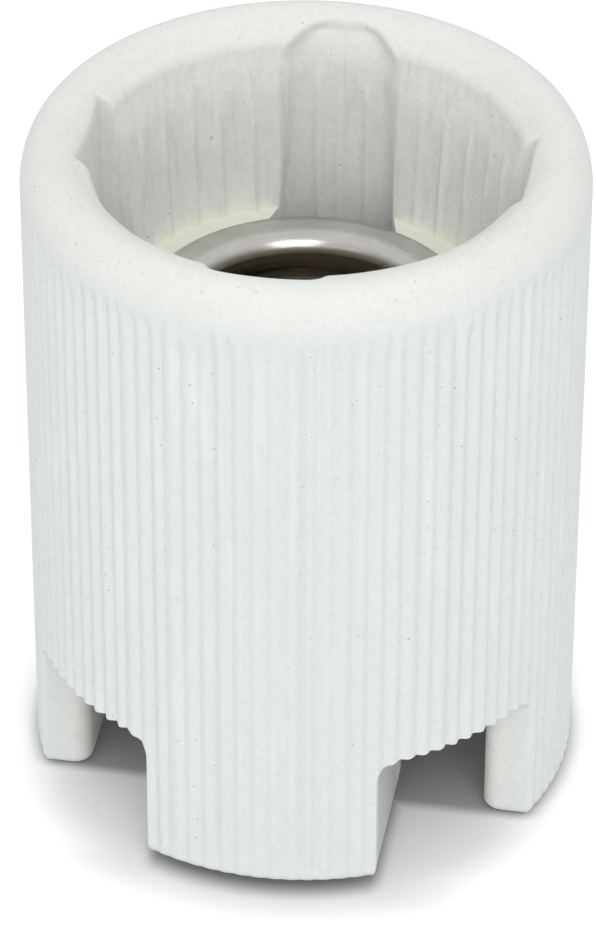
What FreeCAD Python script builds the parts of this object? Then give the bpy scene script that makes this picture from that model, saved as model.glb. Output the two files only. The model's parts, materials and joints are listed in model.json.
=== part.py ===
import FreeCAD, Part
import os
from math import asin, cos, degrees, hypot, pi, radians, sin, sqrt, tan

# Porcelain lamp holder for a 14 mm screw cap, millimetres.
# Z runs up the lamp's axis, and Z = 0 is the plane that the two side feet stand on.
# The narrow ends of the middle block face -Y (front) and +Y (back).
# The shell terminal lies on the +X side, the centre-contact terminal on the -X side.

# Porcelain body, outside
BODY_RADIUS = 14.0
BODY_HEIGHT = 36.4
RIM_OUTER_WIDTH = 1.4
RIM_OUTER_DROP = 2.4
RIB_COUNT = 102
RIB_DEPTH = 0.22
RIB_END_BELOW_RIM = 2.0
RIB_RUNOUT = 1.1

# Cup above the shell
CUP_MOUTH_RADIUS = 10.2
CUP_FOOT_RADIUS = 9.65
CUP_DEPTH = 10.35
RIM_INNER_DROP = 3.35
RECESS_COUNT = 4
RECESS_FACE = 10.85
RECESS_HALF_WIDTH = 2.75
RECESS_CORNER = 0.5
RECESS_FLARE_BELOW_RIM = 2.2
RECESS_FLARE_RADIUS = 3.6
RECESS_FLARE_DEG = 35.0
RECESS_LIP = 0.8
RECESS_BELOW_LEDGE = 5.2
WALL_RIB_RADIUS = 0.3
WALL_RIB_PROUD = 0.14
WALL_RIB_START_BELOW_RIM = 2.9
RECESS_RIB_PITCH_DEG = 6.4
SECTOR_RIB_PITCH_DEG = 9.75
SECTOR_RIBS = 5
RECESS_RIBS = 3

# Well for the shell, and the web that carries it
WELL_RADIUS = 7.9
WEB_THICKNESS = 3.4
BOSS_RADIUS = 5.0
BOSS_EDGE_X = 0.7
BOSS_HEIGHT = 0.8

# Feet and the terminal space below the web
FOOT_HALF_WIDTH = 5.85
WINDOW_HEIGHT = 8.0
WINDOW_CORNER = 1.1
CHAMBER_HEIGHT = 8.8
POCKET_RELIEF = 0.4
CHAMBER_HALF_WIDTH = 3.6
CHAMBER_CORNER = 0.9
BARRIER_THICKNESS = 1.6
BARRIER_SETBACK = 1.5
BLOCK_STEP = 0.65
FOOT_EDGE_FILLET = 0.45
BRACKET_HOLE_RADIUS = 1.45
BRACKET_HOLE_DEPTH = 5.5
BRACKET_HOLE_SETBACK = 4.6

# Screw shell, rolled from sheet
SHEET = 0.3
THREAD_PITCH = 2.822
THREAD_MINOR_RADIUS = 6.15
THREAD_MAJOR_RADIUS = 7.0
FLANGE_RADIUS = 8.25
MOUTH_ROLL = 1.25
THREAD_FADE = 1.4
THREAD_TOP_BELOW_LEDGE = 1.15
FLOOR_BEND = 0.7
FLOOR_OPENING_RADIUS = 5.3
FLOOR_OPENING_EDGE_X = 1.2
SECTIONS_PER_TURN = 12

# Fixing screws through the web
FIXING_X = 3.7
FIXING_RADIUS = 1.0
FIXING_HEAD_RADIUS = 1.7
FIXING_HEAD_HEIGHT = 1.0
FIXING_HOLE_CLEARANCE = 0.2
FIXING_TIP_SETBACK = 0.1
LOCK_WASHER_THICKNESS = 0.4
LOCK_WASHER_RADIUS = 1.65

# Terminal plates, screws and clamp washers
PLATE_THICKNESS = 1.5
PLATE_WIDTH = 5.8
PLATE_CORNER = 0.6
PLATE_INNER_X = 1.9
PLATE_BEYOND_TERMINAL = 2.5
TERMINAL_FROM_FIXING = 3.4
TERMINAL_TO_FOOT = 3.2
TERMINAL_RADIUS = 1.45
TERMINAL_FIT = 0.05
TERMINAL_HEAD_RADIUS = 2.5
TERMINAL_HEAD_HEIGHT = 1.8
TERMINAL_SHANK = 4.55
TIP_ROOM = 0.2
TIP_HOLE_CLEARANCE = 0.3
CLAMP_SIDE = 5.4
CLAMP_THICKNESS = 0.8
CLAMP_CORNER = 0.7
CLAMP_HOLE_CLEARANCE = 0.12
CLAMP_GAP = 0.1
CLAMP_PLAY = 0.05
SLOT_WIDTH = 0.8
SLOT_DEPTH_SHARE = 0.5

# Centre contact
LEAF_THICKNESS = 0.35
LEAF_WIDTH = 3.0
LEAF_TAIL = 1.4
LEAF_RISE = 2.15
LEAF_KNEE_X = -1.45
LEAF_SHOULDER_X = -1.2
LEAF_TOP_END_X = 1.35
LEAF_LIP_X = 1.75
LEAF_LIP_DROP = 0.9
LEAF_BEND = 0.4
BUTTON_RADIUS = 1.25
BUTTON_HEIGHT = 0.55
BUTTON_SHANK_RADIUS = 0.45
BUTTON_HOLE_CLEARANCE = 0.04
BUTTON_CLINCH_RADIUS = 0.6
BUTTON_CLINCH_HEIGHT = 0.2

# Places and levels that follow from the sizes above
TERMINAL_X = FIXING_X + TERMINAL_FROM_FIXING
SIDE_FOOT_FACE = TERMINAL_X + TERMINAL_TO_FOOT
POCKET_RADIUS = SIDE_FOOT_FACE + POCKET_RELIEF
BRACKET_HOLE_Y = BODY_RADIUS - BRACKET_HOLE_SETBACK
RIM_CREST_RADIUS = BODY_RADIUS - RIM_OUTER_WIDTH
PLATE_OUTER_X = TERMINAL_X + PLATE_BEYOND_TERMINAL
LEDGE_Z = BODY_HEIGHT - CUP_DEPTH
WEB_TOP_Z = CHAMBER_HEIGHT + WEB_THICKNESS
FLOOR_TOP_Z = WEB_TOP_Z + SHEET
BOSS_TOP_Z = WEB_TOP_Z + BOSS_HEIGHT
PLATE_BOTTOM_Z = CHAMBER_HEIGHT - PLATE_THICKNESS
CLAMP_TOP_Z = PLATE_BOTTOM_Z - CLAMP_GAP
CLAMP_BOTTOM_Z = CLAMP_TOP_Z - CLAMP_THICKNESS
TERMINAL_HEAD_TOP_Z = CLAMP_BOTTOM_Z - CLAMP_PLAY
TERMINAL_TIP_Z = TERMINAL_HEAD_TOP_Z + TERMINAL_SHANK
FLANGE_TOP_Z = LEDGE_Z + SHEET
LEAF_SEAT_Z = BOSS_TOP_Z + LEAF_THICKNESS / 2
LEAF_TOP_Z = LEAF_SEAT_Z + LEAF_RISE

UP = FreeCAD.Vector(0, 0, 1)


def vec(x, y, z=0.0):
    return FreeCAD.Vector(x, y, z)


def disc(radius, z0, z1, x=0.0, y=0.0):
    return Part.makeCylinder(radius, z1 - z0, vec(x, y, z0), UP)


def block(x0, x1, y0, y1, z0, z1):
    return Part.makeBox(x1 - x0, y1 - y0, z1 - z0, vec(x0, y0, z0))


def turned(solid, degrees_about_z):
    copy = solid.copy()
    copy.rotate(vec(0, 0), UP, degrees_about_z)
    return copy


def revolved(edges):
    face = Part.Face(Part.Wire(edges))
    return face.revolve(vec(0, 0), UP, 360)


def line(a, b):
    return Part.LineSegment(vec(*a), vec(*b)).toShape()


def arc_about(centre, radius, start_deg, end_deg):
    # Arc in the XZ half-plane, from one angle to the other, both from +X towards +Z.
    def at(angle):
        return vec(centre[0] + radius * cos(radians(angle)), 0, centre[1] + radius * sin(radians(angle)))
    return Part.Arc(at(start_deg), at((start_deg + end_deg) / 2), at(end_deg)).toShape()


def chain(points):
    # Straight edges through (r, z) points.
    return [line((a[0], 0, a[1]), (b[0], 0, b[1])) for a, b in zip(points, points[1:])]


# Porcelain body

def cup_radius(z):
    # The cup's wall narrows evenly from below the rounded rim down to the ledge.
    mouth_z = BODY_HEIGHT - RIM_INNER_DROP
    share = (z - LEDGE_Z) / (mouth_z - LEDGE_Z)
    return CUP_FOOT_RADIUS + (CUP_MOUTH_RADIUS - CUP_FOOT_RADIUS) * share


def rim_arc(side_radius, drop):
    # Quarter ellipse in the XZ half-plane from the rim's crest to its inner or outer wall.
    centre = vec(RIM_CREST_RADIUS, 0, BODY_HEIGHT - drop)
    crest = vec(RIM_CREST_RADIUS, 0, BODY_HEIGHT)
    side = vec(side_radius, 0, BODY_HEIGHT - drop)
    ellipse = Part.Ellipse(crest, side, centre)
    return Part.ArcOfEllipse(ellipse, 0, pi / 2).toShape()


def turned_body():
    # The rim is rounded tightly outwards and broadly inwards.
    edges = chain([(0, 0), (BODY_RADIUS, 0), (BODY_RADIUS, BODY_HEIGHT - RIM_OUTER_DROP)])
    edges.append(rim_arc(BODY_RADIUS, RIM_OUTER_DROP))
    edges.append(rim_arc(CUP_MOUTH_RADIUS, RIM_INNER_DROP))
    edges += chain([(CUP_MOUTH_RADIUS, BODY_HEIGHT - RIM_INNER_DROP), (CUP_FOOT_RADIUS, LEDGE_Z),
                    (WELL_RADIUS, LEDGE_Z), (WELL_RADIUS, WEB_TOP_Z), (0, WEB_TOP_Z), (0, 0)])
    return revolved(edges)


def scallop_wire(z, depth):
    # One closed outline of convex ribs: arcs that bulge to the body radius between the valleys.
    step = 2 * pi / RIB_COUNT
    valley = BODY_RADIUS - depth
    edges = []
    for i in range(RIB_COUNT):
        a = i * step
        points = []
        for angle, radius in ((a, valley), (a + step / 2, BODY_RADIUS), (a + step, valley)):
            points.append(vec(radius * cos(angle), radius * sin(angle), z))
        edges.append(Part.Arc(*points).toShape())
    return Part.Wire(edges)


def ribbed_envelope():
    # The valleys run out upwards on a cone that reaches the full radius at the smooth band.
    rib_top = BODY_HEIGHT - RIB_END_BELOW_RIM
    valley = BODY_RADIUS - RIB_DEPTH
    ribs = Part.Face(scallop_wire(-1, RIB_DEPTH)).extrude(vec(0, 0, rib_top + 1))
    runout = Part.makeCone(valley, BODY_RADIUS, RIB_RUNOUT, vec(0, 0, rib_top - RIB_RUNOUT), UP)
    band = disc(BODY_RADIUS + 1, rib_top, BODY_HEIGHT + 1)
    return ribs.fuse([runout, band])


def recess_plan():
    # Upright channel without an end: parallel flanks whose inner edges are rolled over.
    w = RECESS_HALF_WIDTH
    lip = RECESS_LIP
    lip_x = sqrt((CUP_FOOT_RADIUS + 0.2) ** 2 - (w + lip) ** 2)
    flank_x = lip_x + lip
    s = lip * sin(radians(45))
    edges = [line((0, -w - lip), (lip_x, -w - lip)),
             Part.Arc(vec(lip_x, -w - lip), vec(flank_x - s, s - w - lip), vec(flank_x, -w)).toShape(),
             line((flank_x, -w), (BODY_RADIUS, -w)),
             line((BODY_RADIUS, -w), (BODY_RADIUS, w)),
             line((BODY_RADIUS, w), (flank_x, w)),
             Part.Arc(vec(flank_x, w), vec(flank_x - s, w + lip - s), vec(lip_x, w + lip)).toShape(),
             line((lip_x, w + lip), (0, w + lip)),
             line((0, w + lip), (0, -w - lip))]
    return Part.Face(Part.Wire(edges))


def recess_profile():
    # Side view of the channel: an upright outer face that leans outwards under the rim.
    foot = LEDGE_Z - RECESS_BELOW_LEDGE
    bend_z = BODY_HEIGHT - RECESS_FLARE_BELOW_RIM
    centre = (RECESS_FACE + RECESS_FLARE_RADIUS, bend_z)
    flare = radians(RECESS_FLARE_DEG)
    end_x = centre[0] - RECESS_FLARE_RADIUS * cos(flare)
    end_z = bend_z + RECESS_FLARE_RADIUS * sin(flare)
    top_x = end_x + (BODY_HEIGHT + 1 - end_z) * tan(flare)
    edges = chain([(0, foot), (RECESS_FACE, foot), (RECESS_FACE, bend_z)])
    edges.append(arc_about(centre, RECESS_FLARE_RADIUS, 180, 180 - RECESS_FLARE_DEG))
    edges += chain([(end_x, end_z), (top_x, BODY_HEIGHT + 1), (0, BODY_HEIGHT + 1), (0, foot)])
    return Part.Face(Part.Wire(edges))


def recess_cutter():
    foot = LEDGE_Z - RECESS_BELOW_LEDGE
    channel = recess_plan().extrude(vec(0, 0, BODY_HEIGHT + 1 - foot))
    channel.translate(vec(0, 0, foot))
    side = recess_profile().extrude(vec(0, 2 * BODY_RADIUS))
    side.translate(vec(0, -BODY_RADIUS))
    cutter = channel.common(side)
    corners = [e for e in cutter.Edges
               if e.BoundBox.YLength < 1e-6 and e.BoundBox.ZLength > RECESS_CORNER
               and e.BoundBox.XMin > RECESS_FACE - 1e-6]
    return cutter.makeFillet(RECESS_CORNER, corners)


def wall_rib(foot, head):
    # A rod sunk in the wall that dips below the surface at its upper end.
    return Part.makeCylinder(WALL_RIB_RADIUS, foot.distanceToPoint(head), foot, head - foot)


def wall_ribs():
    ribs = []
    top = BODY_HEIGHT - WALL_RIB_START_BELOW_RIM
    sunk = WALL_RIB_RADIUS - WALL_RIB_PROUD
    for quarter in range(RECESS_COUNT):
        centre = quarter * 360.0 / RECESS_COUNT
        for i in range(SECTOR_RIBS):
            offset = (i - (SECTOR_RIBS - 1) / 2) * SECTOR_RIB_PITCH_DEG
            angle = radians(centre + 180.0 / RECESS_COUNT + offset)
            low = cup_radius(LEDGE_Z) + sunk
            high = cup_radius(top) + WALL_RIB_RADIUS
            ribs.append(wall_rib(vec(low * cos(angle), low * sin(angle), LEDGE_Z - SHEET),
                                 vec(high * cos(angle), high * sin(angle), top)))
        for i in range(RECESS_RIBS):
            offset = (i - (RECESS_RIBS - 1) / 2) * radians(RECESS_RIB_PITCH_DEG)
            across = RECESS_FACE * tan(offset)
            rod = wall_rib(vec(RECESS_FACE + sunk, across, LEDGE_Z - RECESS_BELOW_LEDGE / 2),
                           vec(RECESS_FACE + WALL_RIB_RADIUS, across, top))
            ribs.append(turned(rod, centre))
    return ribs


def middle_block_end():
    # The solid between the two terminal chambers and one narrow end of the body.
    lump = block(-FOOT_HALF_WIDTH, FOOT_HALF_WIDTH, -BODY_RADIUS - 1, -CHAMBER_HALF_WIDTH, -1, CHAMBER_HEIGHT)
    inner = [e for e in lump.Edges
             if e.BoundBox.ZLength > CHAMBER_HEIGHT / 2 and abs(e.BoundBox.YMax + CHAMBER_HALF_WIDTH) < 1e-6]
    return lump.makeFillet(CHAMBER_CORNER, inner)


def terminal_space():
    # Both chambers and the channels that lead the wires to them.
    x = SIDE_FOOT_FACE
    pocket = disc(POCKET_RADIUS, -1, CHAMBER_HEIGHT)
    pocket = pocket.common(block(-x, x, -POCKET_RADIUS, POCKET_RADIUS, -1, CHAMBER_HEIGHT))
    pocket = pocket.fuse(block(-x, x, -FOOT_HALF_WIDTH, FOOT_HALF_WIDTH, -1, CHAMBER_HEIGHT)).removeSplitter()
    lump = middle_block_end()
    half = BARRIER_THICKNESS / 2
    barrier = block(-half, half, -CHAMBER_HALF_WIDTH - CHAMBER_CORNER, CHAMBER_HALF_WIDTH + CHAMBER_CORNER,
                    BLOCK_STEP + BARRIER_SETBACK, CHAMBER_HEIGHT)
    return pocket.cut([lump, turned(lump, 180), barrier])


def window_cutter():
    # One wire window: bounded by a side foot, a block end and a ceiling with round corners.
    reach = BODY_RADIUS + 2
    cutter = block(FOOT_HALF_WIDTH, reach, FOOT_HALF_WIDTH, reach, -1, WINDOW_HEIGHT)
    corners = []
    for edge in cutter.Edges:
        box = edge.BoundBox
        level = box.ZLength < 1e-6 and abs(box.ZMax - WINDOW_HEIGHT) < 1e-6
        along_x = box.YLength < 1e-6 and abs(box.YMax - FOOT_HALF_WIDTH) < 1e-6
        along_y = box.XLength < 1e-6 and abs(box.XMax - FOOT_HALF_WIDTH) < 1e-6
        if level and (along_x or along_y):
            corners.append(edge)
    return cutter.makeFillet(WINDOW_CORNER, corners)


def foot_edges(body):
    # Lower edges of the feet and of the block ends, except the ribbed outer ones.
    chosen = []
    for edge in body.Edges:
        box = edge.BoundBox
        sole = box.ZLength < 1e-6 and (abs(box.ZMax) < 1e-6 or abs(box.ZMax - BLOCK_STEP) < 1e-6)
        middle = edge.valueAt((edge.FirstParameter + edge.LastParameter) / 2)
        if sole and hypot(middle.x, middle.y) < BODY_RADIUS - RIB_DEPTH:
            chosen.append(edge)
    return chosen


def porcelain_body():
    body = turned_body()
    cutters = [terminal_space()]
    for quarter in range(4):
        cutters.append(turned(window_cutter(), quarter * 90))
    cutters.append(block(-FOOT_HALF_WIDTH, FOOT_HALF_WIDTH, -BODY_RADIUS - 1, BODY_RADIUS + 1, -1, BLOCK_STEP))
    body = body.cut(cutters).removeSplitter()
    body = body.makeFillet(FOOT_EDGE_FILLET, foot_edges(body))
    recess = recess_cutter()
    holes = [turned(recess, quarter * 360.0 / RECESS_COUNT) for quarter in range(RECESS_COUNT)]
    fixing_hole = FIXING_RADIUS + FIXING_HOLE_CLEARANCE
    tip_hole = TERMINAL_RADIUS + TIP_HOLE_CLEARANCE
    for side in (-1, 1):
        holes.append(disc(fixing_hole, CHAMBER_HEIGHT - 1, BOSS_TOP_Z + 1, side * FIXING_X))
        holes.append(disc(tip_hole, CHAMBER_HEIGHT - 1, TERMINAL_TIP_Z + TIP_ROOM, side * TERMINAL_X))
        holes.append(disc(BRACKET_HOLE_RADIUS, -1, BLOCK_STEP + BRACKET_HOLE_DEPTH, 0, side * BRACKET_HOLE_Y))
    boss = disc(BOSS_RADIUS, WEB_TOP_Z, BOSS_TOP_Z)
    boss = boss.common(block(-BOSS_RADIUS, BOSS_EDGE_X, -BOSS_RADIUS, BOSS_RADIUS, WEB_TOP_Z, BOSS_TOP_Z))
    body = body.fuse([boss] + wall_ribs())
    body = body.cut(holes[RECESS_COUNT:])
    body = body.cut(holes[:RECESS_COUNT])
    return body.common(ribbed_envelope())


# Screw shell

def thread_section(z, top, bottom, grow):
    # The thread is a level circle carried round the axis: its centre moves on a helix.
    # Towards both ends the swing dies away and the circle shrinks to the minor radius.
    swing = (THREAD_MAJOR_RADIUS - THREAD_MINOR_RADIUS) / 2
    fade = min(1.0, (top - z) / THREAD_FADE, (z - bottom) / THREAD_FADE)
    fade = fade * fade * (3 - 2 * fade)
    turn = 2 * pi * z / THREAD_PITCH
    centre = vec(swing * fade * cos(turn), swing * fade * sin(turn), z)
    return Part.Wire(Part.makeCircle(THREAD_MINOR_RADIUS + swing * fade + grow, centre, UP))


def thread_form(top, bottom, grow):
    count = int(round((top - bottom) / THREAD_PITCH * SECTIONS_PER_TURN))
    levels = [bottom + (top - bottom) * i / count for i in range(count + 1)]
    return Part.makeLoft([thread_section(z, top, bottom, grow) for z in levels], True, True)


def screw_shell():
    top = LEDGE_Z - THREAD_TOP_BELOW_LEDGE
    bottom = FLOOR_TOP_Z + FLOOR_BEND
    tube = thread_form(top, bottom, SHEET).cut(thread_form(top, bottom, 0))
    roll_z = FLANGE_TOP_Z - MOUTH_ROLL
    roll_r = THREAD_MINOR_RADIUS + MOUTH_ROLL
    under = MOUTH_ROLL - SHEET
    edges = chain([(THREAD_MINOR_RADIUS + SHEET, roll_z), (THREAD_MINOR_RADIUS + SHEET, top),
                   (THREAD_MINOR_RADIUS, top), (THREAD_MINOR_RADIUS, roll_z)])
    edges.append(arc_about((roll_r, roll_z), MOUTH_ROLL, 180, 90))
    edges += chain([(roll_r, FLANGE_TOP_Z), (FLANGE_RADIUS, FLANGE_TOP_Z), (FLANGE_RADIUS, LEDGE_Z),
                    (roll_r, LEDGE_Z)])
    edges.append(arc_about((roll_r, roll_z), under, 90, 180))
    mouth = revolved(edges)
    bend_r = THREAD_MINOR_RADIUS - FLOOR_BEND
    bend_z = bottom
    edges = chain([(0, WEB_TOP_Z), (bend_r, WEB_TOP_Z)])
    edges.append(arc_about((bend_r, bend_z), FLOOR_BEND + SHEET, -90, 0))
    edges += chain([(THREAD_MINOR_RADIUS + SHEET, bend_z), (THREAD_MINOR_RADIUS, bend_z)])
    edges.append(arc_about((bend_r, bend_z), FLOOR_BEND, 0, -90))
    edges += chain([(bend_r, FLOOR_TOP_Z), (0, FLOOR_TOP_Z), (0, WEB_TOP_Z)])
    cap = revolved(edges)
    opening = disc(FLOOR_OPENING_RADIUS, WEB_TOP_Z - 1, FLOOR_TOP_Z + 1)
    opening = opening.common(block(-WELL_RADIUS, FLOOR_OPENING_EDGE_X, -WELL_RADIUS, WELL_RADIUS,
                                   WEB_TOP_Z - 1, FLOOR_TOP_Z + 1))
    hole = disc(FIXING_RADIUS + FIXING_HOLE_CLEARANCE, WEB_TOP_Z - 1, FLOOR_TOP_Z + 1, FIXING_X)
    return mouth.fuse([tube, cap.cut([opening, hole])])


# Screws, washers and plates

def slotted_screw(head_radius, head_height, shank_radius, shank_length):
    # Head below Z = 0, shank rising from it, slot open downwards. Edges are broken like a turned screw's.
    bevel = head_height / 5
    tip = shank_radius / 4
    edges = chain([(0, shank_length), (0, -head_height), (head_radius - bevel, -head_height),
                   (head_radius, bevel - head_height), (head_radius, 0), (shank_radius, 0),
                   (shank_radius, shank_length - tip), (shank_radius - tip, shank_length), (0, shank_length)])
    slot = block(-head_radius, head_radius, -SLOT_WIDTH / 2, SLOT_WIDTH / 2,
                 -head_height, -head_height * (1 - SLOT_DEPTH_SHARE))
    return revolved(edges).cut(slot)


def fixing_screw(x, seat_z):
    length = seat_z - PLATE_BOTTOM_Z - FIXING_TIP_SETBACK
    screw = slotted_screw(FIXING_HEAD_RADIUS, FIXING_HEAD_HEIGHT, FIXING_RADIUS, length)
    screw.rotate(vec(0, 0), vec(1, 0), 180)
    screw.translate(vec(x, 0, seat_z))
    return screw


def terminal_screw(x):
    screw = slotted_screw(TERMINAL_HEAD_RADIUS, TERMINAL_HEAD_HEIGHT, TERMINAL_RADIUS, TERMINAL_SHANK)
    screw.translate(vec(x, 0, TERMINAL_HEAD_TOP_Z))
    return screw


def rounded_plate(x0, x1, width, corner, z0, z1):
    plate = block(x0, x1, -width / 2, width / 2, z0, z1)
    return plate.makeFillet(corner, [e for e in plate.Edges if e.BoundBox.ZLength > (z1 - z0) / 2])


def terminal_plate(side):
    ends = sorted((side * PLATE_INNER_X, side * PLATE_OUTER_X))
    plate = rounded_plate(ends[0], ends[1], PLATE_WIDTH, PLATE_CORNER, PLATE_BOTTOM_Z, CHAMBER_HEIGHT)
    return plate.cut([disc(FIXING_RADIUS, PLATE_BOTTOM_Z - 1, CHAMBER_HEIGHT + 1, side * FIXING_X),
                      disc(TERMINAL_RADIUS + TERMINAL_FIT, PLATE_BOTTOM_Z - 1, CHAMBER_HEIGHT + 1,
                           side * TERMINAL_X)])


def clamp_washer(side):
    x = side * TERMINAL_X
    half = CLAMP_SIDE / 2
    washer = rounded_plate(x - half, x + half, CLAMP_SIDE, CLAMP_CORNER, CLAMP_BOTTOM_Z, CLAMP_TOP_Z)
    return washer.cut(disc(TERMINAL_RADIUS + CLAMP_HOLE_CLEARANCE, CLAMP_BOTTOM_Z - 1, CLAMP_TOP_Z + 1, x))


def lock_washer():
    ring = disc(LOCK_WASHER_RADIUS, FLOOR_TOP_Z, FLOOR_TOP_Z + LOCK_WASHER_THICKNESS, FIXING_X)
    return ring.cut(disc(FIXING_RADIUS, FLOOR_TOP_Z - 1, FLOOR_TOP_Z + 1 + LOCK_WASHER_THICKNESS, FIXING_X))


# Centre contact

def leaf_corners():
    return [(-FIXING_X - LEAF_TAIL, LEAF_SEAT_Z), (LEAF_KNEE_X, LEAF_SEAT_Z), (LEAF_SHOULDER_X, LEAF_TOP_Z),
            (LEAF_TOP_END_X, LEAF_TOP_Z), (LEAF_LIP_X, LEAF_TOP_Z - LEAF_LIP_DROP)]


def offset_outline(points, distance):
    # Parallel of a polyline in the XZ plane, mitred at the corners.
    result = []
    for i, point in enumerate(points):
        before = points[max(i - 1, 0)]
        after = points[min(i + 1, len(points) - 1)]
        first = vec(point[0] - before[0], 0, point[1] - before[1]) if i else None
        last = vec(after[0] - point[0], 0, after[1] - point[1]) if i < len(points) - 1 else None
        directions = [d.normalize() for d in (first, last) if d is not None]
        normals = [vec(-d.z, 0, d.x) for d in directions]
        mean = normals[0] + normals[-1]
        mean.normalize()
        reach = distance / mean.dot(normals[0])
        result.append(vec(point[0] + mean.x * reach, -LEAF_WIDTH / 2, point[1] + mean.z * reach))
    return result


def contact_leaf():
    upper = offset_outline(leaf_corners(), LEAF_THICKNESS / 2)
    lower = offset_outline(leaf_corners(), -LEAF_THICKNESS / 2)
    outline = Part.makePolygon(upper + lower[::-1] + [upper[0]])
    strip = Part.Face(outline).extrude(vec(0, LEAF_WIDTH))
    bends = []
    for inner, outer in ((upper[1], lower[1]), (lower[2], upper[2]), (lower[3], upper[3])):
        for corner, radius in ((inner, LEAF_BEND), (outer, LEAF_BEND + LEAF_THICKNESS)):
            for edge in strip.Edges:
                box = edge.BoundBox
                if box.YLength > LEAF_WIDTH / 2 and hypot(box.XMax - corner.x, box.ZMax - corner.z) < 1e-4:
                    bends.append((edge, radius))
    for edge, radius in bends:
        middle = edge.BoundBox.Center
        near = [e for e in strip.Edges
                if e.BoundBox.YLength > LEAF_WIDTH / 2 and e.BoundBox.Center.distanceToPoint(middle) < 1e-4]
        strip = strip.makeFillet(radius, near)
    holes = [disc(FIXING_RADIUS, BOSS_TOP_Z - 1, BOSS_TOP_Z + 1, -FIXING_X),
             disc(BUTTON_SHANK_RADIUS + BUTTON_HOLE_CLEARANCE, LEAF_TOP_Z - 1, LEAF_TOP_Z + 1)]
    return strip.cut(holes)


def contact_button():
    # Rivet with a low domed head, its shank through the leaf and turned over beneath.
    over = LEAF_TOP_Z + LEAF_THICKNESS / 2
    under = LEAF_TOP_Z - LEAF_THICKNESS / 2
    rim = BUTTON_HEIGHT / 2
    dome = (BUTTON_RADIUS ** 2 + rim ** 2) / (2 * rim)
    start = degrees(asin(BUTTON_RADIUS / dome))
    edges = chain([(0, under - BUTTON_CLINCH_HEIGHT), (BUTTON_CLINCH_RADIUS, under - BUTTON_CLINCH_HEIGHT),
                   (BUTTON_CLINCH_RADIUS, under), (BUTTON_SHANK_RADIUS, under), (BUTTON_SHANK_RADIUS, over),
                   (BUTTON_RADIUS, over), (BUTTON_RADIUS, over + rim)])
    edges.append(arc_about((0, over + BUTTON_HEIGHT - dome), dome, 90 - start, 90))
    edges += chain([(0, over + BUTTON_HEIGHT), (0, under - BUTTON_CLINCH_HEIGHT)])
    return revolved(edges)


def main():
    os.makedirs("parts", exist_ok=True)
    pieces = {
        "porcelain_body": porcelain_body(),
        "screw_shell": screw_shell(),
        "shell_fixing_screw": fixing_screw(FIXING_X, FLOOR_TOP_Z + LOCK_WASHER_THICKNESS),
        "shell_lock_washer": lock_washer(),
        "shell_terminal_plate": terminal_plate(1),
        "shell_clamp_washer": clamp_washer(1),
        "shell_terminal_screw": terminal_screw(TERMINAL_X),
        "contact_leaf": contact_leaf(),
        "contact_button": contact_button(),
        "contact_fixing_screw": fixing_screw(-FIXING_X, BOSS_TOP_Z + LEAF_THICKNESS),
        "contact_terminal_plate": terminal_plate(-1),
        "contact_clamp_washer": clamp_washer(-1),
        "contact_terminal_screw": terminal_screw(-TERMINAL_X),
    }
    for name, shape in pieces.items():
        if len(shape.Solids) == 1:
            shape = shape.Solids[0]
        shape.exportStep("parts/" + name + ".step")
        print(name, len(shape.Solids), "solid, volume", round(shape.Volume, 2), "valid", shape.isValid())


main()
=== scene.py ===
# %% [markdown]
# # A porcelain lamp holder
# The object is a small holder for a lamp with a 14 mm screw cap. Its body is one piece of
# ribbed porcelain, and a threaded shell of nickel-plated sheet sits deep in its cup.
# The CAD model gives every piece its place and its size, so this lesson starts by loading it.
# Nothing is measured from a picture later on: each new piece is built where the CAD piece is.

# %% Load the CAD model
import json
from math import cos, pi, radians, sin, tan

import bmesh
import bpy
import numpy as np
from mathutils import Matrix, Vector

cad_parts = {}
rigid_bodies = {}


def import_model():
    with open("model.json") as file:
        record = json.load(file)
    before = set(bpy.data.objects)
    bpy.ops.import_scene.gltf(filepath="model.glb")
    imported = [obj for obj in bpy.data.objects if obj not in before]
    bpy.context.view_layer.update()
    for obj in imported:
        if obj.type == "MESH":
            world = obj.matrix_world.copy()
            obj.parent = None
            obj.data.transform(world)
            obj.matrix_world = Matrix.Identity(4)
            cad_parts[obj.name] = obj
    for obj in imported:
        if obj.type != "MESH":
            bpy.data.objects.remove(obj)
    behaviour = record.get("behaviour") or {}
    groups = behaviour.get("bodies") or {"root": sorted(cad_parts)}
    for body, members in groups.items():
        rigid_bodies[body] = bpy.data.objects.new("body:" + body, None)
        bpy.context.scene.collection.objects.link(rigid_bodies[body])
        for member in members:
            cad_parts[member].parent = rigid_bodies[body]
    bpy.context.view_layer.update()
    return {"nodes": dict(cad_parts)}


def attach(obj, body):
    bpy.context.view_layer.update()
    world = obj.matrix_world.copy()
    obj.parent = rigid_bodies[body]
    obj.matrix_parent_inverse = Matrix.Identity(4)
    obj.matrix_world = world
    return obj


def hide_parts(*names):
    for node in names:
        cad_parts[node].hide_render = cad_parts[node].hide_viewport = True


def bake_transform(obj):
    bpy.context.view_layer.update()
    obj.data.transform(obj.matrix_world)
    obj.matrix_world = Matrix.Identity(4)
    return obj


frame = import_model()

mm = 0.001


# %% [markdown]
# ## A grid of points becomes a mesh
# Every new surface here is a table of points with rows and columns. Blender takes the points
# and the faces as flat arrays, which is much faster than adding them one by one.
# The columns run round the axis and close on themselves. The first and the last row may end in
# a pole, which is one point that a fan of triangles shares, or they may meet each other.

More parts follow.
